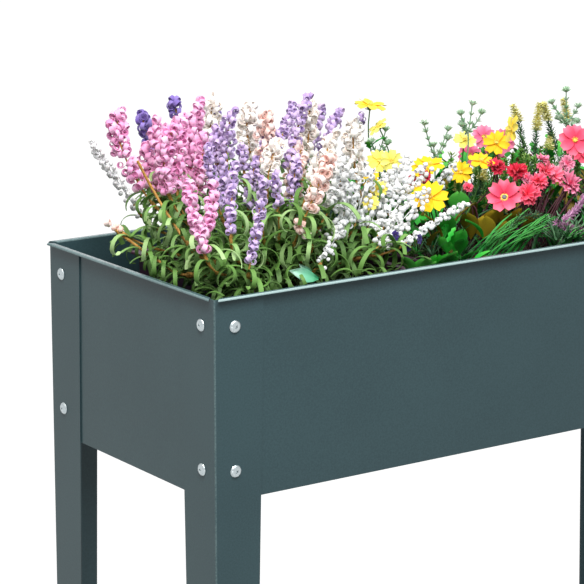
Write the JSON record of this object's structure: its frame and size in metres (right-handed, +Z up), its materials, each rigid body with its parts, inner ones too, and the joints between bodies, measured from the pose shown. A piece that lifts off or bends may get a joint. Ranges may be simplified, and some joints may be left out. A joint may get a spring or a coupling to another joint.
{
  "type": "planted raised bed",
  "caption": "Steel raised bed on four tapered angle legs, filled with potted flower wands, wild flowers, fern sprays and low leaves.",
  "frame": {"origin": "on the ground, under the middle of the bed", "axes": "+X along the bed, +Y towards the back side panel, +Z up"},
  "size_m": [1.012, 0.412, 1.0002],
  "materials": {
    "slate_powder_coat": "fine matt powder coat, slate grey",
    "zinc_plate": "bright zinc plating",
    "plum_plastic": "moulded, satin",
    "compost": "loose peat compost",
    "green_leaves": "matte leaf surface",
    "lavender_petals": "rolled soft florets",
    "violet_petals": "rolled soft florets",
    "pink_petals": "rolled soft florets",
    "cream_petals": "rolled soft florets",
    "peach_petals": "rolled soft florets",
    "white_petals": "soft white buds",
    "yellow_petals": "thin matte petals",
    "coral_petals": "thin matte petals",
    "red_petals": "thin matte petals",
    "frosted_leaves": "pale frosted green",
    "heather_leaves": "dark green with pale tips"
  },
  "bodies": {
    "root": {"back_left_end_bolt_lower": "zinc_plate", "back_left_end_bolt_upper": "zinc_plate", "back_left_leg": "slate_powder_coat", "back_left_side_bolt_lower": "zinc_plate", "back_left_side_bolt_upper": "zinc_plate", "back_panel": "slate_powder_coat", "back_right_end_bolt_lower": "zinc_plate", "back_right_end_bolt_upper": "zinc_plate", "back_right_leg": "slate_powder_coat", "back_right_side_bolt_lower": "zinc_plate", "back_right_side_bolt_upper": "zinc_plate", "coral_anemone_front": "coral_petals", "coral_anemone_right": "coral_petals", "cream_wand_left": "cream_petals", "cream_wand_right": "cream_petals", "floor_panel": "slate_powder_coat", "front_left_end_bolt_lower": "zinc_plate", "front_left_end_bolt_upper": "zinc_plate", "front_left_leg": "slate_powder_coat", "front_left_side_bolt_lower": "zinc_plate", "front_left_side_bolt_upper": "zinc_plate", "front_panel": "slate_powder_coat", "front_right_end_bolt_lower": "zinc_plate", "front_right_end_bolt_upper": "zinc_plate", "front_right_leg": "slate_powder_coat", "front_right_side_bolt_lower": "zinc_plate", "front_right_side_bolt_upper": "zinc_plate", "frosted_fern_left": "frosted_leaves", "frosted_fern_right": "frosted_leaves", "frosted_fern_tall": "frosted_leaves", "green_heather": "heather_leaves", "lavender_wand_far": "lavender_petals", "lavender_wand_front": "lavender_petals", "lavender_wand_large": "lavender_petals", "lavender_wand_mid": "lavender_petals", "lavender_wand_tall": "lavender_petals", "left_compost": "compost", "left_end_panel": "slate_powder_coat", "left_leaves": "green_leaves", "left_pot": "plum_plastic", "middle_compost": "compost", "middle_leaves": "green_leaves", "middle_pot": "plum_plastic", "peach_wand": "peach_petals", "pink_pompon_far": "pink_petals", "pink_wand_left": "pink_petals", "pink_wand_outer": "pink_petals", "pink_wand_upper": "pink_petals", "red_pompon": "red_petals", "right_compost": "compost", "right_end_panel": "slate_powder_coat", "right_leaves": "green_leaves", "right_pot": "plum_plastic", "violet_sprig_left": "violet_petals", "white_bud_spray": "white_petals", "white_wand": "white_petals", "white_wand_far": "white_petals", "yellow_cosmos_large": "yellow_petals", "yellow_cosmos_right": "yellow_petals", "yellow_cosmos_tall": "yellow_petals"}
  },
  "joints": []
}
